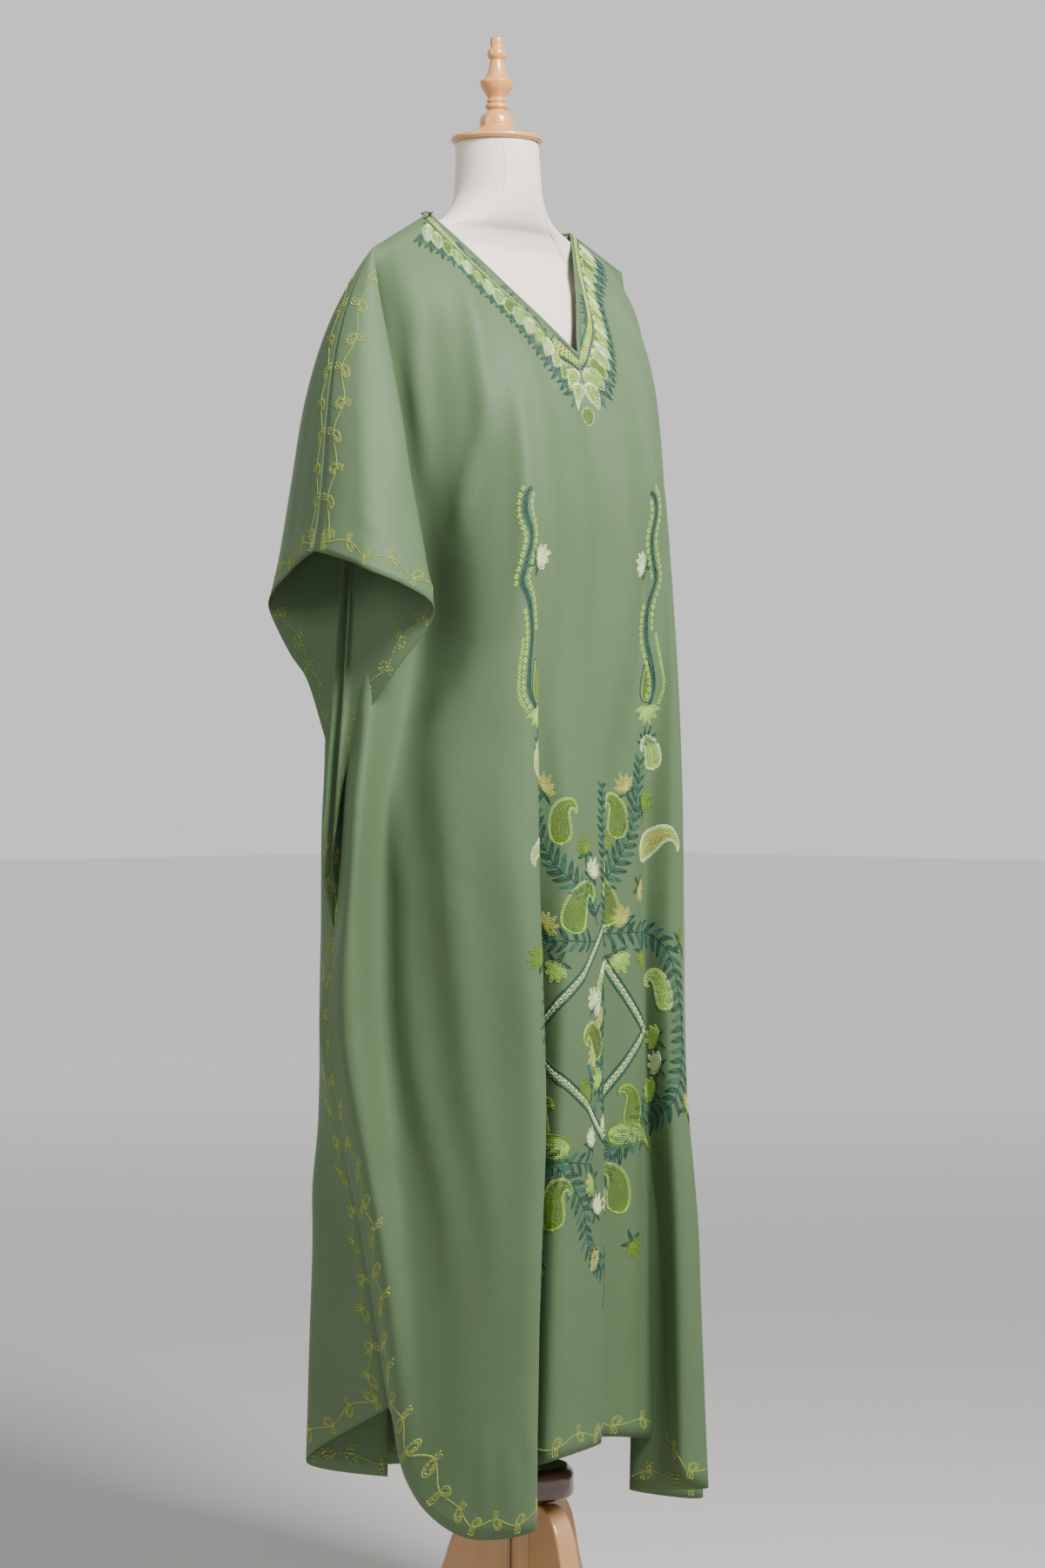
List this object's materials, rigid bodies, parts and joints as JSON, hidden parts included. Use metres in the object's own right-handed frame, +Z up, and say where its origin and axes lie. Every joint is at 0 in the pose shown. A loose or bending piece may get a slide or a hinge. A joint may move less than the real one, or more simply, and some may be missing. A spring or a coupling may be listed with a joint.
{
  "type": "kaftan on a dress form stand",
  "caption": "Long loose kaftan with a V neck, wide cape-like sleeves and rounded side slits, hung on a cloth-covered dress form with a turned finial and a three-legged wooden stand.",
  "frame": {"origin": "on the floor, at the middle of the bounding box's underside", "axes": "+Z up; the garment faces -Y; the wearer's right sleeve is at -X"},
  "size_m": [0.6094, 0.4176, 1.8838],
  "materials": {
    "crepe": "soft sage green crepe with a faint sheen",
    "binding": "rolled strip of the same crepe",
    "form_cloth": "plain cream cotton cover",
    "honey_wood": "turned and varnished",
    "dark_wood": "dark gloss stain",
    "light_wood": "satin varnish",
    "steel": "plain tube"
  },
  "bodies": {
    "root": {"kaftan_front": "crepe", "kaftan_back": "crepe", "neck_binding": "binding", "form_body": "form_cloth", "cap_finial": "honey_wood", "pole": "steel", "hub": "dark_wood", "post": "light_wood", "leg_1": "light_wood", "leg_2": "light_wood", "leg_3": "light_wood"}
  },
  "joints": []
}
